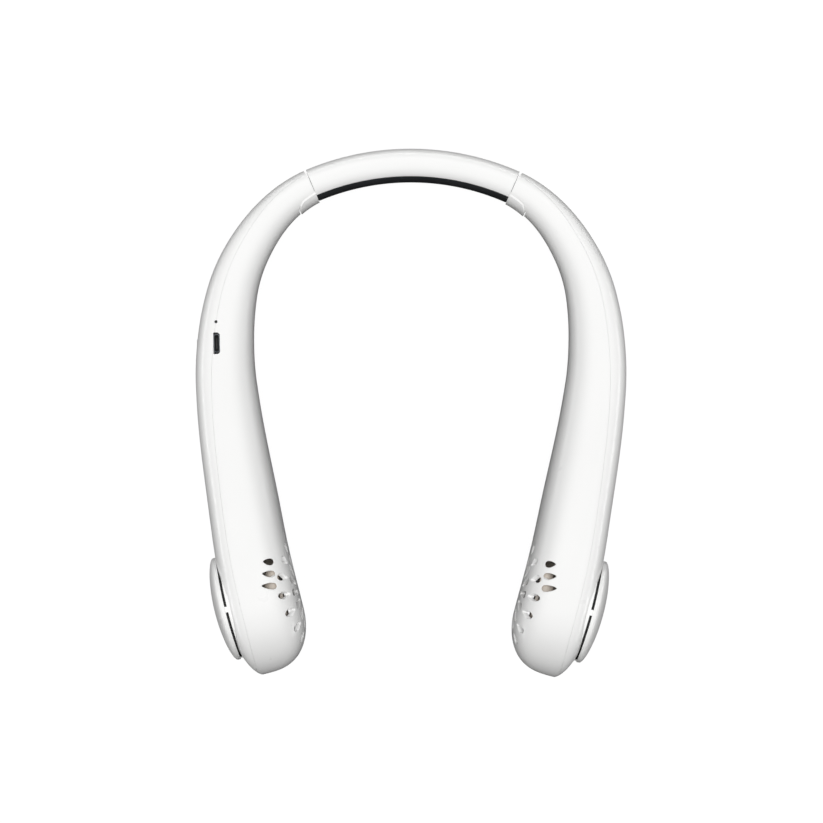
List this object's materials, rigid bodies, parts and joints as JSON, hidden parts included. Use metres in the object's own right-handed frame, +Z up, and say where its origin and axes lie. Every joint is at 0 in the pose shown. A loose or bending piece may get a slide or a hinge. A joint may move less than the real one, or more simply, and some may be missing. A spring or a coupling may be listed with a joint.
{
  "type": "neck fan",
  "caption": "Wearable neck fan: a slim band with a soft pad, hinged arms that swell into round heads with side intake covers and petal grilles, a charging socket and a power button.",
  "frame": {"origin": "middle of the underside of the whole fan, on the surface that it lies on", "axes": "+X from the wearer's left-hand arm in the picture to the right-hand one, +Y from the heads to the band behind the neck, +Z up from the underside"},
  "size_m": [0.1798, 0.2202, 0.05],
  "materials": {
    "white_abs": "glossy moulded white",
    "dark_silicone": "soft satin black",
    "taupe_plastic": "moulded, slightly matte",
    "black_plastic": "moulded, slightly matte",
    "steel": "drawn and polished",
    "plated_steel": "nickel plated",
    "bronze": "sintered, oil filled",
    "copper": "enamelled wire on a laminated core",
    "magnet": "bonded ferrite, matte",
    "cell_wrap": "foil pouch, slightly glossy",
    "lead_insulation": "smooth",
    "board_green": "lacquered glass-fibre board",
    "clear_lens": "clear moulded light pipe"
  },
  "bodies": {
    "neck_band": {"band_shell": "white_abs", "neck_pad": "dark_silicone", "band_lead": "lead_insulation", "left_hinge_tongue": "white_abs", "right_hinge_tongue": "white_abs"},
    "left_arm": {"left_hinge_bracket": "steel", "left_hinge_pin": "steel", "left_hinge_screws": "steel", "left_outer_shell": "white_abs", "left_inner_shell": "white_abs", "left_battery": "cell_wrap", "left_motor_lead": "lead_insulation", "left_intake_cover": "white_abs", "left_motor_mount": "black_plastic", "left_mount_screws": "steel", "left_shaft_bearings": "bronze", "left_stator": "copper", "circuit_board": "board_green", "board_parts": "black_plastic", "charging_socket": "plated_steel", "status_light": "clear_lens", "button_switch": "black_plastic"},
    "right_arm": {"right_hinge_bracket": "steel", "right_hinge_pin": "steel", "right_hinge_screws": "steel", "right_outer_shell": "white_abs", "right_inner_shell": "white_abs", "right_battery": "cell_wrap", "right_motor_lead": "lead_insulation", "right_intake_cover": "white_abs", "right_motor_mount": "black_plastic", "right_mount_screws": "steel", "right_shaft_bearings": "bronze", "right_stator": "copper"},
    "left_rotor": {"left_magnet_ring": "magnet", "left_motor_shaft": "steel", "left_impeller": "taupe_plastic"},
    "right_rotor": {"right_magnet_ring": "magnet", "right_motor_shaft": "steel", "right_impeller": "taupe_plastic"},
    "power_key": {"power_button": "white_abs"}
  },
  "joints": [
    {"name": "left_arm_hinge", "type": "hinge", "parent": "neck_band", "child": "left_arm", "pos_m": [-0.04636, 0.09577, 0.00985], "axis": [0, 0, -1], "range_deg": [0, 15]},
    {"name": "right_arm_hinge", "type": "hinge", "parent": "neck_band", "child": "right_arm", "pos_m": [0.04636, 0.09577, 0.00985], "axis": [0, 0, 1], "range_deg": [0, 15]},
    {"name": "left_fan_spin", "type": "hinge", "parent": "left_arm", "child": "left_rotor", "pos_m": [-0.06109, -0.07893, 0.02462], "axis": [-0.9681, -0.2504, 0], "continuous": true},
    {"name": "right_fan_spin", "type": "hinge", "parent": "right_arm", "child": "right_rotor", "pos_m": [0.06109, -0.07893, 0.02462], "axis": [0.9681, -0.2504, 0], "continuous": true},
    {"name": "power_key_press", "type": "slide", "parent": "left_arm", "child": "power_key", "axis": [0.9995, 0.0323, 0], "range_m": [0, 0.0005], "stiffness_N_per_m": 400, "springref_m": -0.0005}
  ]
}
